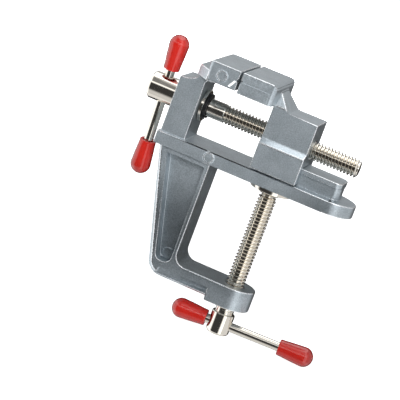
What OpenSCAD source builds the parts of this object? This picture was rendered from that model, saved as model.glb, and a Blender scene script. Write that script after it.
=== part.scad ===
// Small table-clamp bench vise, cast aluminium with nickel-plated screws.
// X runs along the lead screw toward its free end, Y across the jaws, Z up.
// Origin: where the clamp screw's axis meets the flat underside of the bed.

/* [Bed and guide rail] */
// Overall length of the bed plate
bed_len = 88; // [80:0.5:100]
// Distance from the clamp screw axis to the free end of the bed
bed_front = 36; // [32:0.5:42]
// Width of the bed plate, which is also the diameter of its round end
bed_w = 22; // [21:0.5:26]
// Thickness of the bed plate
bed_t = 5.4; // [4.5:0.1:7]
// Width of the rail's top flange
rail_w = 15; // [13:0.5:16]
// Width of the rail's neck under the flange
rail_neck_w = 11; // [9:0.5:11.5]
// Height of the rail's top above the bed
rail_h = 7.6; // [6:0.1:8]
// Thickness of the rail's flange
rail_flange_t = 2.2; // [1.8:0.1:3]
// Rail end, measured from the clamp screw axis
rail_end = 28.5; // [24:0.5:31]
// Rail start behind the clamp screw axis, just inside the closed slide block
rail_back = 8; // [2:0.5:9]
// Corner radius of the rail's end in plan
rail_end_r = 3; // [1:0.5:5]

/* [Fixed upright and jaw] */
// Length of the upright along the bed
upright_len = 11; // [9:0.5:14]
// Width of the upright across the bed
upright_w = 19; // [17:0.5:21]
// Height of the upright's outer edge above the bed
upright_h = 24.6; // [23.5:0.1:27]
// Step from the bed's end to the upright
upright_set = 1; // [0.5:0.5:3]
// Width of both jaws
jaw_w = 35; // [30:0.5:40]
// Height of both jaws
jaw_h = 8.5; // [7:0.1:10]
// Length of the fixed jaw along the bed
jaw_len = 13.9; // [11:0.1:15]
// Length of the moving jaw along the bed
mv_jaw_len = 15.6; // [13:0.1:17]
// Corner radius of the jaws' backs in plan
jaw_corner_r = 2.4; // [1:0.5:5]
// Underside of the jaws above the bed's underside
jaw_z = 34; // [33.6:0.1:36]
// Depth of the horizontal groove in the jaw faces
jaw_groove = 0.9; // [0.4:0.1:1.5]
// Gap between the jaws in the modelled position
jaw_gap = 0.9; // [0.5:0.1:3]

/* [Clamp frame] */
// Distance from the clamp screw axis to the frame's inner face
throat_depth = 26.1; // [23:0.1:30]
// Height of the throat below the bed
throat_h = 45.5; // [40:0.5:50]
// Width of the clamp frame across the bed
frame_w = 18.8; // [17:0.2:21]
// Radius of the throat's inner corner
throat_r = 5; // [3:0.5:7]
// Width of the frame's outer rib at its foot
frame_slope = 13; // [9:0.5:14]
// Thickness of the lower arm
arm_t = 7.7; // [6.5:0.1:9]
// Extra depth of the boss under the arm
boss_drop = 1.5; // [0.5:0.1:3]
// Depth of the side pockets in the frame's web
pocket_depth = 6; // [3:0.5:7]
// Width of the rib beside the throat
inner_rib = 1.8; // [1.5:0.1:3]
// Width of the sloping outer rib
outer_rib = 4.6; // [3.5:0.1:6]
// Greatest depth of the tapering groove in the lower arm
arm_groove = 4.6; // [1:0.1:5]

/* [Moving jaw] */
// Length of the slide block along the bed
block_len = 20.4; // [18:0.1:24]
// Width of the slide block's upper half
block_w = 19; // [17:0.5:20]
// Width of the slide block's lower half, which holds the rail
block_foot_w = 24; // [22:0.5:26]
// Top of the slide block above the bed's underside
block_top = 32.4; // [31:0.1:33.2]
// Foot's shoulder height above the bed's underside
block_shoulder = 17.3; // [16:0.1:18.5]
// Clearance between the slide block and the rail
rail_clear = 0.3; // [0.2:0.05:0.5]
// Gap between the slide block and the bed
foot_gap = 0.6; // [0.3:0.1:1]
// How far the slide block stands behind its jaw's clamping face
block_set = 14.9; // [14:0.1:17]

/* [Lead screw] */
// Height of the lead screw axis above the bed's underside
screw_z = 20.5; // [19.5:0.1:21.5]
// Outer diameter of both screw threads
screw_d = 8; // [7:0.1:8.6]
// Radial running clearance of the screws in their bores
screw_clear = 0.07; // [0.03:0.01:0.1]
// Free end of the lead screw, from the clamp screw axis
screw_end = 31.6; // [28:0.1:36]
// Diameter of the lead screw's head
lead_head_d = 12; // [11:0.1:14]
// Length of the lead screw's head
lead_head_len = 12.4; // [11:0.1:14]
// Diameter of the thrust washer
washer_d = 14; // [11.5:0.1:15]
// Thickness of the thrust washer
washer_t = 1.6; // [0.8:0.1:2]
// Outer diameter of the retaining ring
ring_d = 11.4; // [9.8:0.1:12]
// Thickness of the retaining ring
ring_t = 1.2; // [0.8:0.1:1.4]

/* [Clamp screw] */
// Diameter of the clamp screw's head
clamp_head_d = 10; // [9.4:0.1:12]
// Length of the clamp screw's head
clamp_head_len = 9.4; // [8:0.1:12]
// Top of the clamp screw's head below the bed's underside
clamp_head_z = 58.7; // [58:0.1:64]
// Diameter of the swivel pad
pad_d = 18; // [14:0.5:20]
// Rim thickness of the swivel pad
pad_t = 1.8; // [1.8:0.1:3]
// Gap between the swivel pad and the bed in the modelled position
pad_gap = 0.5; // [0.3:0.1:2]
// Depth of the swivel pad's conical hub
pad_hub_h = 1.4; // [1:0.1:4]

/* [Tommy bars and caps] */
// Diameter of both tommy bars
bar_d = 4; // [3:0.1:4.4]
// Length of bar that shows between its caps
bar_free = 33; // [30:0.5:40]
// Length of a vinyl cap
cap_len = 15.5; // [13:0.5:18]
// Cap diameter at its open end
cap_mouth_d = 7; // [6.4:0.1:8]
// Largest cap diameter, near its round end
cap_d = 8.6; // [7.6:0.1:9.5]
// Thickness of the cap beyond the bar's end
cap_end_t = 2; // [1.5:0.1:3]
// Radial clearance of the bars in their heads
bar_clear = 0.09; // [0.04:0.01:0.1]
// Tilt of the lead tommy bar from vertical
lead_bar_tilt = 8; // [0:1:20]
// Turn of the clamp tommy bar from the X axis
clamp_bar_turn = 6; // [0:1:40]
// Distance from the lead screw axis to the upper cap's open end
lead_bar_up = 9; // [7.5:0.1:12]
// Distance from the clamp screw axis to the inner cap's open end
clamp_bar_in = 6.2; // [6:0.1:9]

/* [Hidden] */
$fn = 96;
eps = 0.02;

cast = [0.55, 0.57, 0.60];
plated = [0.80, 0.79, 0.77];
dark_steel = [0.25, 0.25, 0.26];
vinyl = [0.85, 0.16, 0.12];

bed_x0 = bed_front - bed_len;
up_x0 = bed_x0 + upright_set;
up_x1 = up_x0 + upright_len;
up_top = bed_t + upright_h;
jaw_face = up_x1 + 0.5 + jaw_len;
jaw_top = jaw_z + jaw_h;
groove_z = jaw_z + 0.52 * jaw_h;
rail_top = bed_t + rail_h;
bore_r = screw_d / 2 + screw_clear;
mv_face = jaw_face + jaw_gap;
brace_z = jaw_z + 5.4;
brace_x = mv_face + mv_jaw_len + 6.4;
part_z = jaw_z + 0.56 * jaw_h;
blk_x0 = mv_face + block_set;
blk_x1 = blk_x0 + block_len;
foot_z = bed_t + foot_gap;
shoulder_rise = 0.85 * (block_foot_w - block_w) / 2;
hw = frame_w / 2;
arm_z1 = -throat_h;
arm_z0 = arm_z1 - arm_t;
boss_z0 = arm_z0 - boss_drop;
out_x0 = bed_x0 + 1.6;
out_x1 = out_x0 + frame_slope;
chamf = 1.8;
heel_r = 7;
spine_a = 180 + atan(frame_slope / (bed_t / 2 + throat_h + arm_t - 8.8));
head_x1 = up_x0 - 0.3;
head_x0 = head_x1 - lead_head_len;
lead_bar_x = (head_x0 + head_x1) / 2;
washer_x = up_x1 + 0.3;
ring_x = washer_x + washer_t + 0.1;
thread_x = ring_x + ring_t + 7.4;
pad_z1 = -pad_gap;
pad_z0 = pad_z1 - pad_t;
hub_z = pad_z0 - pad_hub_h;
recess_z = pad_z1 - 1.4;
clamp_bar_z = -clamp_head_z - 0.55 * clamp_head_len;

// Points of an arc about (cx, cz) in the X-Z plane
function arc(cx, cz, r, a0, a1, n = 10) =
    [for (i = [0:n]) let (a = a0 + (a1 - a0) * i / n) [cx + r * cos(a), cz + r * sin(a)]];

// Extrudes an X-Z outline across Y, centred, to the width w
module across(w) {
    rotate([90, 0, 0]) translate([0, 0, -w / 2]) linear_extrude(w) children();
}

// Turns a radius-height outline about the X axis
module about_x() {
    rotate([0, 90, 0]) rotate_extrude() children();
}

// Plan outline of the bed: square at the upright, round at the free end
module bed_plan(w, x0, x1) {
    translate([x0, -w / 2]) square([x1 - w / 2 - x0, w]);
    translate([x1 - w / 2, 0]) circle(d = w);
}

// Plan outline of one rail layer with rounded end corners
module rail_plan(w, x0, x1, r) {
    polygon(concat([[x0, w / 2], [x0, -w / 2]],
        arc(x1 - r, -w / 2 + r, r, -90, 0, 6), arc(x1 - r, w / 2 - r, r, 0, 90, 6)));
}

module bed() {
    linear_extrude(bed_t) bed_plan(bed_w, bed_x0, bed_front);
    translate([0, 0, bed_t - eps]) linear_extrude(rail_h - rail_flange_t + 2 * eps)
        rail_plan(rail_neck_w, -rail_back, rail_end, rail_end_r);
    translate([0, 0, rail_top - rail_flange_t]) linear_extrude(rail_flange_t)
        rail_plan(rail_w, -rail_back, rail_end, rail_end_r);
}

// Upright whose top sweeps up in a hollow curve to the back of the fixed jaw
module upright() {
    sweep = jaw_top - 1 - up_top;
    across(upright_w) polygon(concat(
        [[up_x1, bed_t - eps], [up_x0, bed_t - eps], [up_x0, up_top]],
        [for (i = [1:9]) let (a = i * 10) [up_x0 + 1 + (upright_len - 0.3) * sin(a),
            up_top + sweep * (1 - cos(a))]],
        [[up_x1 + 3, jaw_top - 1], [up_x1 + 3, jaw_z + 0.5], [up_x1, jaw_z - 2.5]]));
    // shoulders that widen the upright to the jaw
    translate([0, 0, jaw_z - 0.8]) linear_extrude(jaw_h * 0.55)
        polygon([[up_x1 - 4.6, -upright_w / 2 + 0.5], [up_x1 + 1, -jaw_w / 2 + 2.5],
            [up_x1 + 4, -jaw_w / 2 + 2.5], [up_x1 + 4, jaw_w / 2 - 2.5],
            [up_x1 + 1, jaw_w / 2 - 2.5], [up_x1 - 4.6, upright_w / 2 - 0.5]]);
}

// Plan outline of a jaw: square at the clamping face, rounded at the back
module jaw_plan(face, back) {
    s = sign(back - face);
    r = jaw_corner_r;
    polygon(concat([[face, jaw_w / 2], [face, -jaw_w / 2]],
        s > 0 ? arc(back - r, -jaw_w / 2 + r, r, -90, 0, 6)
            : arc(back + r, -jaw_w / 2 + r, r, 270, 180, 6),
        s > 0 ? arc(back - r, jaw_w / 2 - r, r, 0, 90, 6)
            : arc(back + r, jaw_w / 2 - r, r, 180, 90, 6)));
}

module fixed_jaw() {
    intersection() {
        across(jaw_w) polygon([[jaw_face - jaw_len + 1.5, jaw_z], [jaw_face, jaw_z],
            [jaw_face, groove_z - jaw_groove], [jaw_face - jaw_groove, groove_z],
            [jaw_face, groove_z + jaw_groove], [jaw_face, jaw_top],
            [jaw_face - jaw_len + 0.8, jaw_top], [jaw_face - jaw_len, jaw_top - 0.8]]);
        translate([0, 0, jaw_z - 2]) linear_extrude(jaw_h + 4)
            jaw_plan(jaw_face + 1, jaw_face - jaw_len);
    }
}

// Outer outline of the clamp frame: sloping spine, round heel, level arm
module frame_outline() {
    polygon(concat([[0, bed_t / 2], [out_x0, bed_t / 2]],
        arc(out_x1 + heel_r, arm_z0 + heel_r, heel_r, spine_a, 270, 7), [[0, arm_z0]]));
}

// Cuts the slanting edges along the frame's outer outline
module outer_chamfers() {
    for (s = [-1, 1], i = [0:5]) let (a = spine_a + (270 - spine_a) * i / 5)
        translate([out_x1 + heel_r + heel_r * cos(a), s * (hw - chamf),
            arm_z0 + heel_r + heel_r * sin(a)])
            rotate([0, -a, 0]) rotate([0, 0, s * 45]) translate([0, -40, -90])
                cube([20, 80, 180]);
}

// Side pocket of the web, which narrows to a round foot
module pocket_outline() {
    x_in = -throat_depth - inner_rib;
    px0 = out_x0 + outer_rib;
    px1 = out_x1 + outer_rib - 2;
    pr = min(2.8, (x_in - px1) / 2 - 0.15);
    zf = arm_z1 - 0.9 + pr;
    polygon(concat([[x_in, -2.2], [px0 + 0.6, -2.2]],
        arc(px1 + pr, zf, pr, 190, 270, 6), arc(x_in - pr, zf, pr, 270, 360, 6)));
}

module clamp_frame() {
    difference() {
        across(frame_w) frame_outline();
        outer_chamfers();
        // throat
        across(frame_w + 2) polygon(concat([[10, 0], [-throat_depth, 0]],
            arc(-throat_depth + throat_r, arm_z1 + throat_r, throat_r, 180, 270, 8),
            [[10, arm_z1]]));
        for (s = [-1, 1]) {
            translate([0, s * (hw - pocket_depth / 2 + 1), 0])
                across(pocket_depth + 2) pocket_outline();
            // groove in the arm, which deepens toward the boss
            translate([0, 0, arm_z0 + 1.2]) linear_extrude(2.8)
                polygon([[-31.6, s * (hw + 0.01)], [-8.7, s * (hw + 0.01)],
                    [-8.7, s * (hw - arm_groove * 0.8)], [-9.6, s * (hw - arm_groove)],
                    [-31.6, s * (hw - 0.7)]]);
        }
        translate([-0.5, -hw - 1, boss_z0 - 5]) cube([30, frame_w + 2, throat_h + 60]);
    }
    // boss
    translate([0, 0, boss_z0]) cylinder(r = hw + 0.02, h = arm_t + boss_drop);
    translate([-8.7, -hw, boss_z0]) cube([8.7, frame_w, arm_t + boss_drop]);
}

module body() {
    color(cast) difference() {
        union() {
            bed();
            upright();
            fixed_jaw();
            clamp_frame();
            // round ejector pads on the sides
            for (s = [-1, 1]) {
                translate([jaw_face - 7.1, s * (jaw_w / 2), groove_z - 0.6]) rotate([90, 0, 0])
                    cylinder(r = 2.3, h = 0.3, center = true);
                translate([-27.4, s * (bed_w / 2), 2.7]) rotate([90, 0, 0])
                    cylinder(r = 2.3, h = 0.3, center = true);
                translate([-31.1, s * (hw - pocket_depth), arm_z1 + 1.7]) rotate([90, 0, 0])
                    cylinder(r = 2.2, h = 0.9, center = true);
            }
        }
        // bore for the lead screw's shank
        translate([up_x0 - 2, 0, screw_z]) rotate([0, 90, 0])
            cylinder(r = bore_r, h = upright_len + 4);
        // threaded bore for the clamp screw
        translate([0, 0, boss_z0 - 1]) cylinder(r = bore_r, h = arm_t + boss_drop + 2);
    }
}

module moving_jaw() {
    ck = rail_clear;
    color(cast) difference() {
        union() {
            // slide block with its wider foot
            translate([blk_x0, 0, 0]) rotate([90, 0, 90]) linear_extrude(block_len) polygon([
                [-block_foot_w / 2, foot_z], [block_foot_w / 2, foot_z],
                [block_foot_w / 2, block_shoulder], [block_w / 2, block_shoulder + shoulder_rise],
                [block_w / 2, block_top], [-block_w / 2, block_top],
                [-block_w / 2, block_shoulder + shoulder_rise],
                [-block_foot_w / 2, block_shoulder]]);
            // jaw with rounded back corners and a rounded upper back edge
            intersection() {
                across(jaw_w) polygon(concat([[mv_face + mv_jaw_len, jaw_z - 0.6],
                    [mv_face, jaw_z - 0.6], [mv_face, groove_z - jaw_groove],
                    [mv_face + jaw_groove, groove_z], [mv_face, groove_z + jaw_groove],
                    [mv_face, jaw_top]],
                    arc(mv_face + mv_jaw_len - 2.4, jaw_top - 2.4, 2.4, 90, 0, 8)));
                translate([0, 0, jaw_z - 2]) linear_extrude(jaw_h + 4)
                    jaw_plan(mv_face - 1, mv_face + mv_jaw_len);
                // sides drafted inward above the die's parting line
                rotate([90, 0, 90]) translate([0, 0, mv_face - 2]) linear_extrude(mv_jaw_len + 4)
                    polygon([[-jaw_w / 2 - 1, jaw_z - 2], [jaw_w / 2 + 1, jaw_z - 2],
                        [jaw_w / 2 + 1, part_z], [jaw_w / 2, part_z],
                        [jaw_w / 2 - 0.35, jaw_top + 1], [-jaw_w / 2 + 0.35, jaw_top + 1],
                        [-jaw_w / 2, part_z], [-jaw_w / 2 - 1, part_z]]);
            }
            // brace between the block's top and the back of the jaw, its sides drawn in
            difference() {
                across(block_w) polygon([[blk_x0, block_top - 2], [blk_x0, jaw_z + 1],
                    [mv_face + mv_jaw_len - 1, jaw_z + 1],
                    [mv_face + mv_jaw_len - 1, brace_z + 0.4],
                    [mv_face + mv_jaw_len, brace_z], [brace_x - 1.3, block_top + 1.3],
                    [brace_x, block_top - 0.1], [brace_x, block_top - 2]]);
                for (s = [-1, 1])
                    translate([mv_face + mv_jaw_len - 0.02, s * block_w / 2, block_top + 1.3])
                        rotate([s * 32, 0, 0]) translate([0, s > 0 ? 0 : -20, 0])
                            cube([20, 20, 20]);
            }
        }
        // slot that holds the rail
        translate([blk_x0 - 1, -rail_neck_w / 2 - ck, foot_z - 1])
            cube([block_len + 2, rail_neck_w + 2 * ck, rail_h]);
        translate([blk_x0 - 1, -rail_w / 2 - ck, rail_top - rail_flange_t - ck])
            cube([block_len + 2, rail_w + 2 * ck, rail_flange_t + 2 * ck]);
        // threaded bore for the lead screw
        translate([blk_x0 - 1, 0, screw_z]) rotate([0, 90, 0])
            cylinder(r = bore_r, h = block_len + 2);
    }
}

module lead_screw() {
    r = screw_d / 2;
    h = lead_head_d / 2;
    g = 0.05;
    color(plated) difference() {
        translate([0, 0, screw_z]) about_x() polygon([[0, head_x0], [h - 0.8, head_x0],
            [h, head_x0 + 0.8], [h, head_x1 - 0.3], [h - 0.3, head_x1], [r, head_x1],
            [r, ring_x - g], [r - 0.7, ring_x - g], [r - 0.7, ring_x + ring_t + g],
            [r, ring_x + ring_t + g], [r, screw_end - 1], [r - 1, screw_end], [0, screw_end]]);
        translate([lead_bar_x, 0, screw_z]) rotate([lead_bar_tilt, 0, 0])
            cylinder(r = bar_d / 2 + bar_clear, h = lead_head_d + 4, center = true);
    }
}

module lead_thrust_washer() {
    color(plated) translate([washer_x, 0, screw_z]) rotate([0, 90, 0]) difference() {
        cylinder(d = washer_d, h = washer_t);
        translate([0, 0, -1]) cylinder(r = screw_d / 2 + 0.05, h = washer_t + 2);
    }
}

// Spring-steel ring, open at one side, seated in the shank's groove
module lead_retaining_ring() {
    color(dark_steel) translate([ring_x, 0, screw_z]) rotate([0, 90, 0]) difference() {
        cylinder(d = ring_d, h = ring_t);
        translate([0, 0, -1]) cylinder(r = screw_d / 2 - 0.7, h = ring_t + 2);
        translate([0, -1.8, -1]) cube([ring_d, 3.6, ring_t + 2]);
    }
}

// Bar with its middle a distance "low" below the place where it is drawn
module bar(low) {
    full = bar_free + 2 * (cap_len - cap_end_t);
    color(plated) translate([0, 0, low - full / 2]) cylinder(d = bar_d, h = full);
}

// Slip-on cap, open end at z = 0, round end up
module cap() {
    rm = cap_mouth_d / 2;
    rc = cap_d / 2;
    dome = 0.98 * rc;
    color(vinyl) rotate_extrude() polygon(concat(
        [[bar_d / 2, 0], [rm - 0.3, 0], [rm, 0.3], [rc, cap_len - dome]],
        [for (i = [1:11]) let (a = i * 90 / 12) [rc * cos(a) , cap_len - dome + dome * sin(a)]],
        [[0, cap_len], [0, cap_len - cap_end_t], [bar_d / 2, cap_len - cap_end_t]]));
}

// Places its children on the lead tommy bar's line, the bar's own Z along it
module on_lead_bar() {
    translate([lead_bar_x, 0, screw_z]) rotate([lead_bar_tilt, 0, 0]) children();
}

// Places its children on the clamp tommy bar's line, the bar's own Z along it
module on_clamp_bar() {
    translate([0, 0, clamp_bar_z]) rotate([0, 0, clamp_bar_turn]) rotate([0, 90, 0]) children();
}

module lead_tommy_bar() { on_lead_bar() bar(lead_bar_up - bar_free / 2); }
module lead_cap_upper() { on_lead_bar() translate([0, 0, lead_bar_up]) cap(); }
module lead_cap_lower() {
    on_lead_bar() translate([0, 0, lead_bar_up - bar_free]) mirror([0, 0, 1]) cap();
}

module clamp_screw() {
    r = screw_d / 2;
    h = clamp_head_d / 2;
    z0 = -clamp_head_z - clamp_head_len;
    color(plated) difference() {
        rotate_extrude() polygon([[0, z0], [h - 0.8, z0], [h, z0 + 0.8],
            [h, -clamp_head_z - 0.3], [h - 0.3, -clamp_head_z], [r, -clamp_head_z],
            [r, hub_z - 1.1], [r - 0.8, hub_z - 0.3], [2.25, hub_z - 0.3],
            [2.25, recess_z + 0.3], [3.2, recess_z + 0.3], [3.2, recess_z + 0.8],
            [2.9, recess_z + 1.1], [0, recess_z + 1.1]]);
        on_clamp_bar() cylinder(r = bar_d / 2 + bar_clear, h = clamp_head_d + 4, center = true);
    }
}

// Swivel pad, held by the screw's riveted tip in a recess of its face
module clamp_pad() {
    color(plated) rotate_extrude() polygon([[2.35, hub_z], [4.7, hub_z], [6.4, pad_z0],
        [pad_d / 2, pad_z0], [pad_d / 2, pad_z1 - 0.3], [pad_d / 2 - 0.3, pad_z1],
        [3.7, pad_z1], [3.7, recess_z], [2.35, recess_z]]);
}

module clamp_tommy_bar() { on_clamp_bar() bar(bar_free / 2 - clamp_bar_in); }
module clamp_cap_inner() {
    on_clamp_bar() translate([0, 0, -clamp_bar_in]) mirror([0, 0, 1]) cap();
}
module clamp_cap_outer() { on_clamp_bar() translate([0, 0, bar_free - clamp_bar_in]) cap(); }

body();
moving_jaw();
lead_screw();
lead_thrust_washer();
lead_retaining_ring();
lead_tommy_bar();
lead_cap_upper();
lead_cap_lower();
clamp_screw();
clamp_pad();
clamp_tommy_bar();
clamp_cap_inner();
clamp_cap_outer();
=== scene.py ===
from math import atan2, cos, hypot, pi, radians, sin

import bpy
from mathutils import Matrix, Vector
from mathutils.bvhtree import BVHTree


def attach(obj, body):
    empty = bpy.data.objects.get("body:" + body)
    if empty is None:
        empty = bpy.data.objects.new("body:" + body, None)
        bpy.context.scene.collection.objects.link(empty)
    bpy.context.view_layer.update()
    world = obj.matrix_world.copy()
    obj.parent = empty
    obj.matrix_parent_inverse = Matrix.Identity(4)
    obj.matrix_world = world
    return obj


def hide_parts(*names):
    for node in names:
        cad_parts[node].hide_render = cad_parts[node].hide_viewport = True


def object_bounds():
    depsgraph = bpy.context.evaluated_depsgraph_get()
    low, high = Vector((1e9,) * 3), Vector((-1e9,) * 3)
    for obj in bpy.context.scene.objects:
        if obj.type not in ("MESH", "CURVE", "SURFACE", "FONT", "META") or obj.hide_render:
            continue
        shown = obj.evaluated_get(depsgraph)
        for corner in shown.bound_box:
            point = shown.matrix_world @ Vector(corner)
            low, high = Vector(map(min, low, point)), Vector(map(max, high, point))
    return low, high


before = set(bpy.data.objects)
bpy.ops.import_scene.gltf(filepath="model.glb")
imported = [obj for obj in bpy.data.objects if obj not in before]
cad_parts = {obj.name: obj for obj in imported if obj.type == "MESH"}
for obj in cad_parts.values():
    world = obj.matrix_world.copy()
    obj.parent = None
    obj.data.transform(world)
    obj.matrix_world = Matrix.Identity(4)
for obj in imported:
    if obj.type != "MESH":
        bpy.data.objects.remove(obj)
cad_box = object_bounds()

# ---------------------------------------------------------------------------
# The body: bed, guide rail, upright, fixed jaw and clamp frame in one piece.
# It is a pressure die casting in aluminium, tumbled until its edges are
# rubbed bright, and everything else is fastened to it or runs on it.
# ---------------------------------------------------------------------------

MM = 0.001


def only(*pieces):
    """Selects these pieces alone, the first one active."""
    bpy.ops.object.select_all(action="DESELECT")
    for piece in pieces:
        piece.select_set(True)
    bpy.context.view_layer.objects.active = pieces[0]


def carried(node, name):
    """A new piece from a node's solid, its loose triangles joined into whole flats."""
    piece = bpy.data.objects.new(name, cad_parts[node].data.copy())
    bpy.context.scene.collection.objects.link(piece)
    piece.data.materials.clear()
    only(piece)
    bpy.ops.mesh.customdata_custom_splitnormals_clear()
    bpy.ops.object.mode_set(mode="EDIT")
    bpy.ops.mesh.select_all(action="SELECT")
    bpy.ops.mesh.remove_doubles(threshold=0.002 * MM)
    bpy.ops.mesh.dissolve_limited(angle_limit=radians(0.5))
    bpy.ops.mesh.select_all(action="DESELECT")
    bpy.ops.mesh.select_face_by_sides(number=24, type="GREATER")
    bpy.ops.mesh.vert_connect_concave()
    bpy.ops.object.mode_set(mode="OBJECT")
    return piece


def rounded(piece, width, outward, least=0.5, segments=3, finish=0):
    """Rounds a piece's sharp edges, the outward corners or the inward ones, to a width in
    mm. Edges shorter than the least length stay sharp, and a finish is a material's slot."""
    only(piece)
    bpy.ops.object.mode_set(mode="EDIT")
    bpy.ops.mesh.select_mode(type="EDGE")
    bpy.ops.mesh.select_all(action="DESELECT")
    bpy.ops.mesh.edges_select_sharp(sharpness=radians(24))
    bpy.ops.object.mode_set(mode="OBJECT")
    mesh = piece.data
    # for each edge, the normals of its faces and the ways they lead off from it
    sides = {}
    for face in mesh.polygons:
        ends = list(face.vertices)
        for i, j in zip(ends, ends[1:] + ends[:1]):
            along = mesh.vertices[j].co - mesh.vertices[i].co
            sides.setdefault(frozenset((i, j)), []).append(
                (face.normal.copy(), face.normal.cross(along)))
    weights = mesh.attributes.get("bevel_weight_edge")
    weights = weights or mesh.attributes.new("bevel_weight_edge", "FLOAT", "EDGE")
    for edge in mesh.edges:
        weights.data[edge.index].value = 0.0
        faces = sides.get(frozenset(edge.vertices), [])
        if not edge.select or len(faces) != 2:
            continue
        (normal, _), (_, onward) = faces
        a, b = (mesh.vertices[i].co for i in edge.vertices)
        if (a - b).length >= least * MM and (onward.dot(normal) < 0) == outward:
            weights.data[edge.index].value = 1.0
    bevel = piece.modifiers.new("rounding", "BEVEL")
    bevel.limit_method = "WEIGHT"
    bevel.width = width * MM
    bevel.segments = segments
    bevel.use_clamp_overlap = False
    bevel.loop_slide = True
    if finish:
        bevel.material = finish
    sharp = BVHTree.FromPolygons([v.co.copy() for v in mesh.vertices],
                                 [tuple(f.vertices) for f in mesh.polygons])
    bpy.ops.object.modifier_apply(modifier="rounding")
    # an outward rounding only takes away, and a fillet stands 0.3 of its width proud, so
    # any point thrown further out in a crowded corner goes back to the sharp shape
    proud = (0.01 if outward else 0.33 * width) * MM
    for point in piece.data.vertices:
        near, normal, _, _ = sharp.find_nearest(point.co)
        if (point.co - near).dot(normal) > proud:
            point.co = near


def evened(piece, angle=36):
    """Smooths the shading over roundings and keeps the flats flat."""
    only(piece)
    bpy.ops.object.shade_smooth_by_angle(angle=radians(angle))
    piece.modifiers.new("flats", "WEIGHTED_NORMAL").keep_sharp = True
    bpy.ops.object.modifier_apply(modifier="flats")


def turned(name, stations, sides=64):
    """A solid of revolution drawn out of a disc along +Z, through (height, radius) in mm."""
    bpy.ops.object.select_all(action="DESELECT")
    height, radius = stations[0]
    bpy.ops.mesh.primitive_circle_add(vertices=sides, radius=radius * MM, fill_type="NGON",
                                      location=(0, 0, height * MM))
    piece = bpy.context.object
    piece.name = name
    bpy.ops.object.mode_set(mode="EDIT")
    bpy.ops.mesh.select_mode(type="FACE")
    bpy.ops.mesh.select_all(action="SELECT")
    for next_height, next_radius in stations[1:]:
        bpy.ops.mesh.extrude_region_move(
            TRANSFORM_OT_translate={"value": (0, 0, (next_height - height) * MM)})
        grow = next_radius / radius
        bpy.ops.transform.resize(value=(grow, grow, 1),
                                 center_override=(0, 0, next_height * MM))
        height, radius = next_height, next_radius
    bpy.ops.mesh.select_all(action="SELECT")
    bpy.ops.mesh.normals_make_consistent(inside=False)
    bpy.ops.object.mode_set(mode="OBJECT")
    bpy.ops.object.transform_apply(location=True, rotation=True, scale=True)
    return piece


def attached(piece, part):
    """Adds a small closed part, sunk a little into a piece, to that piece's mesh."""
    only(piece, part)
    bpy.ops.object.join()


def soft_block(name, size, spot, round_off, tilt=0):
    """A block with rounded edges, its middle at a spot in mm, tilted about Y in degrees."""
    bpy.ops.mesh.primitive_cube_add(size=1)
    block = bpy.context.object
    block.name = name
    block.data.transform(Matrix.Diagonal((*(Vector(size) * MM), 1)))
    block.data.transform(Matrix.Translation(Vector(spot) * MM)
                         @ Matrix.Rotation(radians(tilt), 4, "Y"))
    soft = block.modifiers.new("soft", "BEVEL")
    soft.width, soft.segments = round_off * MM, 3
    only(block)
    bpy.ops.object.modifier_apply(modifier="soft")
    return block


def placed(piece, spot, along):
    """Turns a piece's own +Z along a direction and moves its origin to a spot in mm."""
    turn = Vector(along).normalized().to_track_quat("Z", "X").to_matrix().to_4x4()
    piece.data.transform(Matrix.Translation(Vector(spot) * MM) @ turn)
    return piece


def linear(code):
    """A colour written as sRGB hex, as the shader wants it."""
    parts = [int(code[i:i + 2], 16) / 255 for i in (1, 3, 5)]
    return tuple(c / 12.92 if c <= 0.04045 else ((c + 0.055) / 1.055) ** 2.4
                 for c in parts) + (1.0,)


def material(name):
    made = bpy.data.materials.new(name)
    made.use_nodes = True
    return made, made.node_tree, made.node_tree.nodes["Principled BSDF"]


def add(tree, kind, settings, sockets):
    """Adds a node with its settings, and its socket values or links."""
    made = tree.nodes.new("ShaderNode" + kind)
    for key, value in settings.items():
        setattr(made, key, value)
    for key, value in sockets.items():
        if isinstance(value, bpy.types.NodeSocket):
            tree.links.new(value, made.inputs[key])
        else:
            made.inputs[key].default_value = value
    return made


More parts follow.
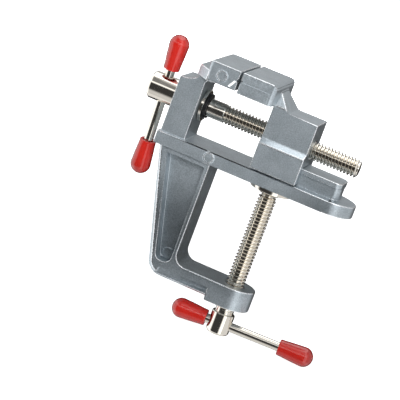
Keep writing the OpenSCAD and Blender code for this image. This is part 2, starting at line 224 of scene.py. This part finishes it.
def die_cast_aluminium(name, low, high, smooth, rough, metal):
    """Aluminium casting alloy as it leaves the tumbling barrel: a blue-grey satin skin,
    cloudy over a few millimetres, with a fine orange peel that softens reflections."""
    made, tree, shader = material(name)
    place = add(tree, "TexCoord", {}, {}).outputs["Object"]
    # clouds 6 mm across in the cast skin
    cloud = add(tree, "TexNoise", {}, {"Vector": place, "Scale": 1 / (6 * MM),
                                       "Detail": 4.0, "Roughness": 0.6})
    # tumbling grain, really about 0.1 mm, drawn at 0.5 mm so that it shows
    grain = add(tree, "TexNoise", {}, {"Vector": place, "Scale": 1 / (0.5 * MM),
                                       "Detail": 2.0, "Roughness": 0.55})
    tone = add(tree, "MapRange", {}, {"Value": cloud.outputs["Fac"], "From Min": 0.32,
                                      "From Max": 0.68, "To Min": 0.3, "To Max": 0.7})
    fleck = add(tree, "Math", {"operation": "MULTIPLY_ADD"}, {
        0: grain.outputs["Fac"], 1: 2.4, 2: -1.2})
    tone = add(tree, "Math", {"operation": "ADD", "use_clamp": True}, {
        0: tone.outputs["Result"], 1: fleck.outputs[0]})
    hue = add(tree, "Mix", {"data_type": "RGBA"}, {
        0: tone.outputs[0], 6: linear(low), 7: linear(high)})
    satin = add(tree, "MapRange", {}, {"Value": grain.outputs["Fac"], "From Min": 0.3,
                                       "From Max": 0.7, "To Min": smooth, "To Max": rough})
    peel = add(tree, "Bump", {}, {"Height": grain.outputs["Fac"], "Strength": 0.35,
                                  "Distance": 0.03 * MM})
    wave = add(tree, "Bump", {}, {"Height": cloud.outputs["Fac"], "Strength": 0.5,
                                  "Distance": 0.12 * MM, "Normal": peel.outputs["Normal"]})
    shader.inputs["Metallic"].default_value = metal
    tree.links.new(hue.outputs[2], shader.inputs["Base Color"])
    tree.links.new(satin.outputs["Result"], shader.inputs["Roughness"])
    tree.links.new(wave.outputs["Normal"], shader.inputs["Normal"])
    return made


cast_skin = die_cast_aluminium("tumbled_aluminium_casting", "#959EA4", "#BCC5CB",
                               0.28, 0.39, 0.72)
rubbed_edge = die_cast_aluminium("rubbed_casting_edge", "#C3C9CE", "#E8EBED",
                                 0.20, 0.32, 1.0)
broken_face = die_cast_aluminium("broken_gate_face", "#E3E6E8", "#FAFBFB",
                                 0.42, 0.55, 0.35)

body = carried("body", "body_casting")
for skin in (cast_skin, rubbed_edge):
    body.data.materials.append(skin)
rounded(body, 0.5, outward=False, least=0.3)
rounded(body, 0.42, outward=True, least=0.35, segments=4, finish=1)

# the rings that the die's ejector pins leave on both sides: on the bed over the inner
# ribs, and on the fixed jaw
PIN_R = 2.24
for x, y, z in ((-27.4, 11.0, 2.7), (-32.7, 17.5, 37.82)):
    for side in (-1, 1):
        mark = turned("pin_mark", [
            (-0.4, PIN_R), (0.10, PIN_R), (0.22, PIN_R - 0.12), (0.26, PIN_R - 0.29),
            (0.22, PIN_R - 0.42), (0.12, PIN_R - 0.5)], 40)
        mark.data.materials.append(rubbed_edge)
        attached(body, placed(mark, (x, side * y, z), (0, side, 0)))

# the scar where the casting's gate was broken off the fixed jaw's near side
scar = soft_block("gate_scar", (1.0, 0.9, 3.7), (-27.7, -17.4, 36.4), 0.3, tilt=32)
scar.data.materials.append(broken_face)
attached(body, scar)
evened(body)
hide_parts("body")
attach(body, "frame")

# ---------------------------------------------------------------------------
# The moving jaw: slide block and jaw in one die casting of the same alloy.
# Its T-shaped slot runs on the bed's rail, and the lead screw turns in its
# tapped bore to draw it along.
# ---------------------------------------------------------------------------

jaw = carried("moving_jaw", "moving_jaw_casting")
for skin in (cast_skin, rubbed_edge):
    jaw.data.materials.append(skin)
rounded(jaw, 0.45, outward=False, least=0.3)
rounded(jaw, 0.45, outward=True, least=0.35, segments=4, finish=1)

# the die's parting line: below it the jaw's two sides stand out by a hair
for side in (-1, 1):
    step = soft_block("parting_step", (12.9, 0.7, 4.7), (-17.95, side * 17.36, 36.15), 0.22)
    step.data.materials.append(cast_skin)
    attached(jaw, step)
evened(jaw)
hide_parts("moving_jaw")
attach(jaw, "slide")

# ---------------------------------------------------------------------------
# The lead screw: a steel screw with a rolled M8 thread of 1.5 mm pitch, a
# turned head with a cross hole for its bar, nickel-plated all over. Its plain
# shank turns in the upright's bore.
# ---------------------------------------------------------------------------


def joined(piece, tool, how):
    """Unites a piece with a tool, or cuts the tool away from it, and drops the tool."""
    only(piece)
    work = piece.modifiers.new("work", "BOOLEAN")
    work.object, work.operation, work.solver = tool, how, "EXACT"
    bpy.ops.object.modifier_apply(modifier="work")
    bpy.data.objects.remove(tool)


CREST_R, ROOT_R, PITCH = 4.0, 3.12, 1.5


def rolled_thread(name, start, end, steps=48):
    """An M8 thread along +Z: one tooth's outline wound up, both ends cut square."""
    tooth = [(ROOT_R, 0.0), (ROOT_R, 0.1), (CREST_R, 0.42), (CREST_R, 0.58),
             (ROOT_R, 0.9), (ROOT_R, 1.0)]
    turns = int((end - start) / PITCH) + 3
    low = start - 1.5 * PITCH
    mesh = bpy.data.meshes.new(name)
    mesh.from_pydata([(r * MM, 0, (low + t * PITCH) * MM) for r, t in tooth],
                     [(i, i + 1) for i in range(len(tooth) - 1)], [])
    piece = bpy.data.objects.new(name, mesh)
    bpy.context.scene.collection.objects.link(piece)
    only(piece)
    roll = piece.modifiers.new("roll", "SCREW")
    roll.axis, roll.angle, roll.screw_offset = "Z", 2 * pi, PITCH * MM
    roll.iterations, roll.steps, roll.render_steps = turns, steps, steps
    roll.use_merge_vertices = True
    bpy.ops.object.modifier_apply(modifier="roll")
    bpy.ops.object.mode_set(mode="EDIT")
    bpy.ops.mesh.select_all(action="SELECT")
    bpy.ops.mesh.remove_doubles(threshold=0.001 * MM)
    for height, inner in ((start, True), (end, False)):
        bpy.ops.mesh.select_all(action="SELECT")
        bpy.ops.mesh.bisect(plane_co=(0, 0, height * MM), plane_no=(0, 0, 1), use_fill=True,
                            clear_inner=inner, clear_outer=not inner)
    bpy.ops.mesh.select_all(action="SELECT")
    bpy.ops.mesh.normals_make_consistent(inside=False)
    bpy.ops.object.mode_set(mode="OBJECT")
    return piece


def held_between(piece, least, most):
    """Moves a thread's points in or out, so that they stay between two radii at each height."""
    for point in piece.data.vertices:
        x, y, z = point.co
        radius = hypot(x, y) / MM
        if radius > 0.01:
            wanted = min(max(radius, least(z / MM)), most(z / MM))
            point.co.x, point.co.y = x * wanted / radius, y * wanted / radius


def cross_hole(reach, radius, sink=0.55):
    """A drill along +Z through a head of that radius, with a countersink at both ends."""
    return turned("drill", [(-reach - 1, radius + sink + 1), (-reach + sink, radius),
                            (reach - sink, radius), (reach + 1, radius + sink + 1)], 48)


def nickel_plate(name, smooth, rough, root_shade=None, axis_spot=None, across=None):
    """Bright nickel over turned or rolled steel: a warm grey mirror, a little dulled by
    handling. On a screw the thread's roots, nearer to its axis, are painted greyer as painted
    shade in the thread's hollows."""
    made, tree, shader = material(name)
    place = add(tree, "TexCoord", {}, {}).outputs["Object"]
    # handling haze in patches 4 mm across
    haze = add(tree, "TexNoise", {}, {"Vector": place, "Scale": 1 / (4 * MM),
                                      "Detail": 3.0, "Roughness": 0.6})
    sheen = add(tree, "MapRange", {}, {"Value": haze.outputs["Fac"], "From Min": 0.35,
                                       "From Max": 0.65, "To Min": smooth, "To Max": rough})
    hue = add(tree, "Mix", {"data_type": "RGBA"}, {
        0: haze.outputs["Fac"], 6: linear("#DAD4C9"), 7: linear("#EAE5DC")})
    colour = hue.outputs[2]
    # painted shade: the thread's roots, nearer the screw's axis, are mixed towards a greyer
    # colour
    if root_shade:
        away = add(tree, "VectorMath", {"operation": "SUBTRACT"},
                   {0: place, 1: Vector(axis_spot) * MM})
        flat = add(tree, "VectorMath", {"operation": "MULTIPLY"},
                   {0: away.outputs["Vector"], 1: across})
        radius = add(tree, "VectorMath", {"operation": "LENGTH"},
                     {0: flat.outputs["Vector"]})
        depth = add(tree, "MapRange", {}, {
            "Value": radius.outputs["Value"], "From Min": (ROOT_R + 0.03) * MM,
            "From Max": (CREST_R - 0.25) * MM, "To Min": 0.0, "To Max": 1.0})
        shaded_roots = add(tree, "Mix", {"data_type": "RGBA"}, {
            0: depth.outputs["Result"], 6: linear(root_shade), 7: colour})
        colour = shaded_roots.outputs[2]
    # drawing and plating ripple of 0.8 mm
    ripple = add(tree, "TexNoise", {}, {"Vector": place, "Scale": 1 / (0.8 * MM),
                                        "Detail": 1.0})
    skin = add(tree, "Bump", {}, {"Height": ripple.outputs["Fac"], "Strength": 0.15,
                                  "Distance": 0.01 * MM})
    shader.inputs["Metallic"].default_value = 1.0
    tree.links.new(colour, shader.inputs["Base Color"])
    tree.links.new(sheen.outputs["Result"], shader.inputs["Roughness"])
    tree.links.new(skin.outputs["Normal"], shader.inputs["Normal"])
    return made


LEAD_AXIS = 20.5  # height over the bed's underside
HEAD_A, HEAD_B, HEAD_R = -63.7, -51.3, 6.0
GROOVE_A, GROOVE_B, GROOVE_R = -38.05, -36.75, 3.3
THREAD_A, THREAD_B = -30.0, 31.6
CROSS_HOLE_R = 2.09
BAR_SPOT = (-57.5, 0, LEAD_AXIS)
LEAD_BAR = (0, -sin(radians(8)), cos(radians(8)))

lead = turned("lead_screw_turned", [
    (HEAD_A, 4.6), (HEAD_A, 5.1), (HEAD_A + 0.25, 5.45), (HEAD_A + 0.8, HEAD_R - 0.1),
    (HEAD_A + 1.1, HEAD_R), (HEAD_B - 0.5, HEAD_R), (HEAD_B - 0.15, HEAD_R - 0.15),
    (HEAD_B, HEAD_R - 0.5), (HEAD_B, CREST_R + 0.2), (HEAD_B + 0.2, CREST_R),
    (GROOVE_A - 0.15, CREST_R), (GROOVE_A, CREST_R - 0.15), (GROOVE_A, GROOVE_R),
    (GROOVE_B, GROOVE_R), (GROOVE_B, CREST_R - 0.15), (GROOVE_B + 0.15, CREST_R),
    (THREAD_A + 0.3, CREST_R)])
thread = rolled_thread("lead_thread", THREAD_A, THREAD_B)
# it runs out into the shank at its start and is chamfered at its end
held_between(thread, lambda z: CREST_R - 0.75 * (z - THREAD_A - 0.35),
             lambda z: CREST_R - 1.1 * max(0.0, z - THREAD_B + 0.9))
joined(lead, thread, "UNION")
placed(lead, (0, 0, LEAD_AXIS), (1, 0, 0))
joined(lead, placed(cross_hole(HEAD_R, CROSS_HOLE_R), BAR_SPOT, LEAD_BAR), "DIFFERENCE")
# the third colour is the painted shade in the lead thread's roots
lead_nickel = nickel_plate("nickel_plated_lead_screw", 0.06, 0.14, "#D6D0C6",
                           axis_spot=(0, 0, LEAD_AXIS), across=(0, 1, 1))
lead.data.materials.append(lead_nickel)
evened(lead, 40)
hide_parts("lead_screw")
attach(lead, "lead")

# ---------------------------------------------------------------------------
# The thrust washer: a stamped steel ring, nickel-plated, that takes the pull
# of the screw against the upright's inner side.
# ---------------------------------------------------------------------------

plain_nickel = nickel_plate("nickel_plated_steel", 0.07, 0.15)
WASHER_A, WASHER_B, WASHER_R, WASHER_BORE = -39.7, -38.1, 7.0, 4.05

# stamping leaves one rim drawn over and the other sharp
washer = turned("thrust_washer_stamped", [
    (WASHER_A, WASHER_R - 0.7), (WASHER_A + 0.08, WASHER_R - 0.3),
    (WASHER_A + 0.4, WASHER_R), (WASHER_B - 0.15, WASHER_R), (WASHER_B, WASHER_R - 0.18),
    (WASHER_B, WASHER_BORE + 0.1)], 72)
bore = turned("washer_bore", [(WASHER_A - 1, WASHER_BORE), (WASHER_B + 1, WASHER_BORE)], 72)
joined(washer, bore, "DIFFERENCE")
placed(washer, (0, 0, LEAD_AXIS), (1, 0, 0))
washer.data.materials.append(plain_nickel)
evened(washer)
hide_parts("lead_thrust_washer")
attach(washer, "lead")

# ---------------------------------------------------------------------------
# The retaining ring: an open ring pressed from spring steel and blackened,
# snapped into the shank's groove to hold the screw in the upright.
# ---------------------------------------------------------------------------


def black_spring_steel(name):
    """Phosphated and oiled spring steel: nearly black, satin, with a soft grey bloom."""
    made, tree, shader = material(name)
    place = add(tree, "TexCoord", {}, {}).outputs["Object"]
    # phosphate crystals, really 0.02 mm, drawn at 0.3 mm so that they show
    bloom = add(tree, "TexNoise", {}, {"Vector": place, "Scale": 1 / (0.3 * MM),
                                       "Detail": 3.0})
    hue = add(tree, "Mix", {"data_type": "RGBA"}, {
        0: bloom.outputs["Fac"], 6: linear("#17181A"), 7: linear("#3A3B3D")})
    skin = add(tree, "Bump", {}, {"Height": bloom.outputs["Fac"], "Strength": 0.3,
                                  "Distance": 0.01 * MM})
    shader.inputs["Metallic"].default_value = 0.8
    shader.inputs["Roughness"].default_value = 0.38
    tree.links.new(hue.outputs[2], shader.inputs["Base Color"])
    tree.links.new(skin.outputs["Normal"], shader.inputs["Normal"])
    return made


ring = carried("lead_retaining_ring", "retaining_ring_spring")
ring.data.materials.append(black_spring_steel("blackened_spring_steel"))
rounded(ring, 0.15, outward=True, least=0.2)
evened(ring)
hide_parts("lead_retaining_ring")
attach(ring, "lead")

# ---------------------------------------------------------------------------
# The tommy bars: 4 mm drawn steel rods, nickel-plated, cut to 60 mm and
# chamfered. Each slides loosely in its screw's cross hole.
# ---------------------------------------------------------------------------

BAR_R, BAR_FULL = 2.0, 60.0
BAR_FREE = 33.0  # between the two caps
LEAD_UP, CLAMP_IN = 9.0, 6.2  # from the screw's axis to the upper cap, and to the inner
CLAMP_SPOT = (0, 0, -63.87)
CLAMP_BAR = (cos(radians(6)), sin(radians(6)), 0)


def tommy_bar(name, middle, spot, along):
    """A rod with chamfered ends, its middle that far along the line from the spot."""
    a, b = middle - BAR_FULL / 2, middle + BAR_FULL / 2
    rod = turned(name, [(a, 1.4), (a + 0.5, 1.9), (a + 0.75, BAR_R), (middle, BAR_R),
                        (b - 0.75, BAR_R), (b - 0.5, 1.9), (b, 1.4)], 48)
    placed(rod, spot, along)
    rod.data.materials.append(plain_nickel)
    evened(rod)
    return rod


lead_bar = tommy_bar("lead_tommy_bar_rod", LEAD_UP - BAR_FREE / 2, BAR_SPOT, LEAD_BAR)
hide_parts("lead_tommy_bar")
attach(lead_bar, "lead_bar")
clamp_bar = tommy_bar("clamp_tommy_bar_rod", BAR_FREE / 2 - CLAMP_IN, CLAMP_SPOT, CLAMP_BAR)
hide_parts("clamp_tommy_bar")
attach(clamp_bar, "clamp_bar")

# ---------------------------------------------------------------------------
# The caps: dip-moulded red vinyl, 15.5 mm long, with a rolled lip and a round
# end. They are pushed over the bars' ends, and keep the bars in their heads.
# ---------------------------------------------------------------------------


def dipped_vinyl(name):
    """Soft PVC drawn from a dip tank: a glossy red skin with slow runs and faint scuffs."""
    made, tree, shader = material(name)
    place = add(tree, "TexCoord", {}, {}).outputs["Object"]
    # slow runs of the dip, 3 mm apart
    run = add(tree, "TexNoise", {}, {"Vector": place, "Scale": 1 / (3 * MM), "Detail": 2.0})
    hue = add(tree, "Mix", {"data_type": "RGBA"}, {
        0: run.outputs["Fac"], 6: linear("#9E160F"), 7: linear("#AE231A")})
    # scuffs of 0.6 mm
    scuff = add(tree, "TexNoise", {}, {"Vector": place, "Scale": 1 / (0.6 * MM),
                                       "Detail": 3.0})
    gloss = add(tree, "MapRange", {}, {"Value": scuff.outputs["Fac"], "From Min": 0.35,
                                       "From Max": 0.7, "To Min": 0.14, "To Max": 0.22})
    skin = add(tree, "Bump", {}, {"Height": run.outputs["Fac"], "Strength": 0.5,
                                  "Distance": 0.15 * MM})
    shader.inputs["IOR"].default_value = 1.53
    shader.inputs["Specular IOR Level"].default_value = 0.6
    tree.links.new(hue.outputs[2], shader.inputs["Base Color"])
    tree.links.new(gloss.outputs["Result"], shader.inputs["Roughness"])
    tree.links.new(skin.outputs["Normal"], shader.inputs["Normal"])
    return made


red_vinyl = dipped_vinyl("dip_moulded_red_vinyl")
CAP_LEN, MOUTH_R, CAP_R = 15.5, 3.5, 4.3
DOME = 0.98 * CAP_R


def vinyl_cap(name, node, rider, start, sign, spot, along):
    """A cap whose open end is that far along the bar, its round end out by the sign."""
    wall = [(0.0, 2.35), (0.0, MOUTH_R - 0.35), (0.12, MOUTH_R - 0.1), (0.35, MOUTH_R),
            (0.9, MOUTH_R + 0.04), (2.2, MOUTH_R + 0.1), (4.0, MOUTH_R + 0.28),
            (7.0, MOUTH_R + 0.52), (CAP_LEN - DOME, CAP_R)]
    end = [(CAP_LEN - DOME + DOME * sin(radians(a)), CAP_R * cos(radians(a)))
           for a in (8, 16, 24, 32, 40, 48, 56, 64, 72, 79, 85)] + [(CAP_LEN, 0.06)]
    cap = turned(name, wall + end, 56)
    bore = turned("cap_bore", [(-1, 2.55), (0.0, 2.4), (0.5, BAR_R), (13.5, BAR_R)], 56)
    joined(cap, bore, "DIFFERENCE")
    line = Vector(along) * sign
    placed(cap, Vector(spot) + Vector(along) * start, line)
    cap.data.materials.append(red_vinyl)
    evened(cap, 50)
    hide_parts(node)
    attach(cap, rider)


vinyl_cap("lead_cap_upper_vinyl", "lead_cap_upper", "lead_bar", LEAD_UP, 1,
          BAR_SPOT, LEAD_BAR)
vinyl_cap("lead_cap_lower_vinyl", "lead_cap_lower", "lead_bar", LEAD_UP - BAR_FREE, -1,
          BAR_SPOT, LEAD_BAR)
vinyl_cap("clamp_cap_inner_vinyl", "clamp_cap_inner", "clamp_bar", -CLAMP_IN, -1,
          CLAMP_SPOT, CLAMP_BAR)
vinyl_cap("clamp_cap_outer_vinyl", "clamp_cap_outer", "clamp_bar", BAR_FREE - CLAMP_IN, 1,
          CLAMP_SPOT, CLAMP_BAR)

# ---------------------------------------------------------------------------
# The clamp screw: the same rolled M8 thread and nickel plate, a smaller head
# with its cross hole, and a tip riveted over inside the swivel pad.
# ---------------------------------------------------------------------------

CLAMP_A, CLAMP_B, CLAMP_HEAD_R = -68.1, -58.7, 5.0
NECK, NECK_R, RECESS = -4.0, 2.25, -1.9

clamp = turned("clamp_screw_turned", [
    (CLAMP_A, 3.6), (CLAMP_A, 4.1), (CLAMP_A + 0.25, 4.5), (CLAMP_A + 0.8, CLAMP_HEAD_R - 0.1),
    (CLAMP_A + 1.05, CLAMP_HEAD_R), (CLAMP_B - 0.45, CLAMP_HEAD_R),
    (CLAMP_B - 0.12, CLAMP_HEAD_R - 0.12), (CLAMP_B, CLAMP_HEAD_R - 0.4),
    (CLAMP_B, CREST_R + 0.15), (CLAMP_B + 0.15, CREST_R), (CLAMP_B + 1.6, CREST_R)])
thread = rolled_thread("clamp_thread", CLAMP_B + 1.2, NECK - 0.8)
held_between(thread, lambda z: CREST_R - 0.75 * (z - CLAMP_B - 1.65),
             lambda z: CREST_R - 1.0 * max(0.0, z - NECK + 1.4))
joined(clamp, thread, "UNION")
tip = turned("riveted_tip", [
    (NECK - 1.2, 2.6), (NECK - 0.3, 2.5), (NECK, NECK_R), (RECESS + 0.3, NECK_R),
    (RECESS + 0.3, 3.0), (RECESS + 0.45, 3.2), (RECESS + 0.75, 3.15),
    (RECESS + 0.98, 2.8), (RECESS + 1.1, 2.2), (RECESS + 1.1, 0.6)], 48)
joined(clamp, tip, "UNION")
drill = placed(cross_hole(CLAMP_HEAD_R, CROSS_HOLE_R), CLAMP_SPOT, CLAMP_BAR)
joined(clamp, drill, "DIFFERENCE")
# the third colour is the painted shade in the clamp thread's roots
clamp_nickel = nickel_plate("nickel_plated_clamp_screw", 0.06, 0.14, "#DDD7CC",
                            axis_spot=(0, 0, 0), across=(1, 1, 0))
clamp.data.materials.append(clamp_nickel)
evened(clamp, 40)
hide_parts("clamp_screw")
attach(clamp, "clamp")

# ---------------------------------------------------------------------------
# The swivel pad: a pressed steel disc with a conical hub, nickel-plated. The
# screw's riveted tip turns in its recess, so it stays still on the bench.
# ---------------------------------------------------------------------------

PAD_TOP, PAD_RIM, PAD_HUB = -0.5, -2.3, -3.7
PAD_R, RECESS_R, PAD_BORE = 9.0, 3.7, 2.35

pad = turned("swivel_pad_pressed", [
    (PAD_HUB, 4.0), (PAD_HUB, 4.4), (PAD_HUB + 0.15, 4.7), (PAD_RIM - 0.3, 6.05),
    (PAD_RIM - 0.06, 6.4), (PAD_RIM, 6.9), (PAD_RIM, PAD_R - 0.4),
    (PAD_RIM + 0.12, PAD_R - 0.12), (PAD_RIM + 0.4, PAD_R), (PAD_TOP - 0.45, PAD_R),
    (PAD_TOP - 0.12, PAD_R - 0.12), (PAD_TOP, PAD_R - 0.4), (PAD_TOP, RECESS_R + 0.3),
    (PAD_TOP - 0.12, RECESS_R + 0.06), (PAD_TOP - 0.4, RECESS_R), (RECESS, RECESS_R)], 72)
bore = turned("pad_bore", [(PAD_HUB - 1, PAD_BORE), (RECESS + 0.5, PAD_BORE)], 48)
joined(pad, bore, "DIFFERENCE")
pad.data.materials.append(plain_nickel)
evened(pad)
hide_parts("clamp_pad")
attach(pad, "pad")

# ---------------------------------------------------------------------------
# The studio: a pale floor under the vise, a white surround, a soft key lamp in
# front with flags in its way, soft lamps overhead and behind, and a room of
# glowing walls and dark cards that only reflections see.
# ---------------------------------------------------------------------------

world = bpy.data.worlds.new("studio")
bpy.context.scene.world = world
world.use_nodes = True
tree = world.node_tree
room = tree.nodes["Background"]
room.inputs["Color"].default_value = linear("#E9EDF2")
room.inputs["Strength"].default_value = 0.20
# plain white for camera, glossy and transmission rays
white = add(tree, "Background", {}, {"Color": (1, 1, 1, 1), "Strength": 1.0})
path = add(tree, "LightPath", {}, {})
seen = add(tree, "Math", {"operation": "MAXIMUM"}, {
    0: path.outputs["Is Camera Ray"], 1: path.outputs["Is Glossy Ray"]})
seen = add(tree, "Math", {"operation": "MAXIMUM"}, {
    0: seen.outputs[0], 1: path.outputs["Is Transmission Ray"]})
mixed = add(tree, "MixShader", {}, {
    0: seen.outputs[0], 1: room.outputs[0], 2: white.outputs[0]})
tree.links.new(mixed.outputs[0], tree.nodes["World Output"].inputs["Surface"])

FLOOR_GAP = 0.4
bpy.ops.mesh.primitive_plane_add(size=9,
                                 location=(0, 0, cad_box[0][2] - FLOOR_GAP * MM))
floor = bpy.context.object
floor.name = "floor"
made, tree, shader = material("pale_floor_paper")
shader.inputs["Base Color"].default_value = linear("#F2F3F4")
shader.inputs["Roughness"].default_value = 0.9
shader.inputs["Specular IOR Level"].default_value = 0.1
# lifted to white for the camera, with the vise's shadow left on it
glow = add(tree, "Emission", {}, {"Color": (1, 1, 1, 1), "Strength": 0.84})
lit = add(tree, "AddShader", {}, {0: shader.outputs[0], 1: glow.outputs[0]})
path = add(tree, "LightPath", {}, {})
mixed = add(tree, "MixShader", {}, {
    0: path.outputs["Is Camera Ray"], 1: shader.outputs[0], 2: lit.outputs[0]})
tree.links.new(mixed.outputs[0], tree.nodes["Material Output"].inputs["Surface"])
floor.data.materials.append(made)
floor.visible_glossy = False


def soft_lamp(name, spot, aim, size, power, spread=180):
    """A square lamp that lights what is near its aim and shows in no reflection."""
    lamp = bpy.data.lights.new(name, "AREA")
    lamp.shape, lamp.size, lamp.energy = "SQUARE", size, power
    lamp.spread = radians(spread)
    holder = bpy.data.objects.new(name, lamp)
    bpy.context.scene.collection.objects.link(holder)
    holder.location = spot
    holder.rotation_euler = (Vector(aim) - Vector(spot)).to_track_quat("-Z", "Y").to_euler()
    holder.visible_camera = holder.visible_glossy = False


soft_lamp("key_lamp", (0.02, -0.27, 0.10), (-0.045, -0.01, 0.015), 0.16, 0.38, 90)
soft_lamp("overhead_lamp", (-0.03, 0.03, 0.75), (0, 0, 0), 0.35, 1.3)
soft_lamp("back_lamp", (-0.05, 0.70, -0.01), (0, 0, -0.01), 0.4, 3.5)


def card(name, spot, size):
    """An upright card that faces the front, out of the camera's sight."""
    bpy.ops.mesh.primitive_plane_add(size=1, location=(0, 0, 0))
    piece = bpy.context.object
    piece.name = name
    piece.data.transform(Matrix.Translation(spot) @ Matrix.Rotation(radians(90), 4, "X")
                         @ Matrix.Diagonal((*size, 1, 1)))
    piece.visible_camera = piece.visible_diffuse = False
    return piece


# two flags in the key lamp's way shade the frame's arm and the far end of the bed
for spot, size in (((-0.015, -0.035, -0.021), (0.09, 0.030)),
                   ((0.036, -0.035, 0.003), (0.04, 0.018))):
    flag = card("key_flag", spot, size)
    flag.visible_glossy = flag.visible_transmission = False

# What the metal mirrors: a dark room in front, where the maker stands, a paler one at
# the sides and back, windows on every side but the front, strips of light above the
# front, a lit floor, and two bright boxes overhead.
WINDOWS = [  # azimuth and elevation in degrees, half widths, glow
    (-92, 0, 28, 42, 1.25), (40, 8, 12, 48, 1.4), (90, 0, 34, 44, 0.6),
    (-12, 23, 55, 4.5, 1.5), (-6, 42, 40, 9, 0.22), (180, 18, 50, 26, 0.25),
    (0, -90, 400, 40, 0.7)]
BOXES = [  # direction, half width and soft rim in degrees, glow
    ((-0.06, 0.20, 0.98), 34, 10, 2.2), ((0.12, -0.36, 0.92), 27, 9, 1.0)]
FRONT_GLOW, BACK_GLOW = 0.05, 0.26


def eased(share):
    """A share kept between 0 and 1, with soft ends."""
    share = min(1.0, max(0.0, share))
    return share * share * (3 - 2 * share)


def room_glow(direction):
    """The room's glow in one direction, azimuth 0 towards the front, rising to the right."""
    azimuth = atan2(direction.x, -direction.y) * 180 / pi
    elevation = atan2(direction.z, hypot(direction.x, direction.y)) * 180 / pi
    glow = BACK_GLOW if abs(azimuth) > 60 else FRONT_GLOW
    for middle, level, wide, high, strength in WINDOWS:
        aside = abs((azimuth - middle + 180) % 360 - 180) / wide
        above = abs(elevation - level) / high
        glow += strength * eased(3 - 2 * max(aside, above))
    for way, wide, rim, strength in BOXES:
        aside = direction.angle(Vector(way)) * 180 / pi
        glow += strength * eased((wide - aside) / rim)
    return glow


bpy.ops.mesh.primitive_uv_sphere_add(segments=128, ring_count=64, radius=1.6)
room_wall = bpy.context.object
room_wall.name = "room_for_reflections"
glows = room_wall.data.color_attributes.new("glow", "FLOAT_COLOR", "POINT")
for point, spot in zip(room_wall.data.vertices, glows.data):
    level = room_glow(point.co.normalized())
    spot.color = (level, level, level, 1)
made, tree, shader = material("room_wall_glow")
tint = add(tree, "Attribute", {"attribute_name": "glow"}, {})
glow = add(tree, "Emission", {}, {"Color": tint.outputs["Color"], "Strength": 1.0})
tree.links.new(glow.outputs[0], tree.nodes["Material Output"].inputs["Surface"])
made.cycles.emission_sampling = "NONE"
room_wall.data.materials.append(made)
room_wall.visible_camera = room_wall.visible_diffuse = room_wall.visible_shadow = False
room_wall.visible_transmission = room_wall.visible_volume_scatter = False

# dark felt cards, seen only by reflections: one low behind the frame, one close behind
# its arm
made, tree, shader = material("dark_card_felt")
shader.inputs["Base Color"].default_value = linear("#3A3632")
shader.inputs["Roughness"].default_value = 0.9
for spot, size in (((0.0, 0.12, -0.112), (0.26, 0.276)),
                   ((-0.012, 0.045, -0.070), (0.075, 0.09))):
    dark_card = card("dark_card", spot, size)
    dark_card.data.materials.append(made)
    dark_card.visible_shadow = False

# the camera, far off with a long lens, a little above and to the right, rolled to the left
camera = bpy.data.objects.new("camera", bpy.data.cameras.new("camera"))
bpy.context.scene.collection.objects.link(camera)
camera.data.sensor_width = 36
camera.data.lens = 193.995
camera.data.clip_start, camera.data.clip_end = 0.05, 20
camera.location = (0.14827, -0.86773, 0.18974)
camera.rotation_euler = (radians(75.9419), radians(-19.935), radians(16.2799))
bpy.context.scene.camera = camera
bpy.context.scene.view_settings.view_transform = "Standard"
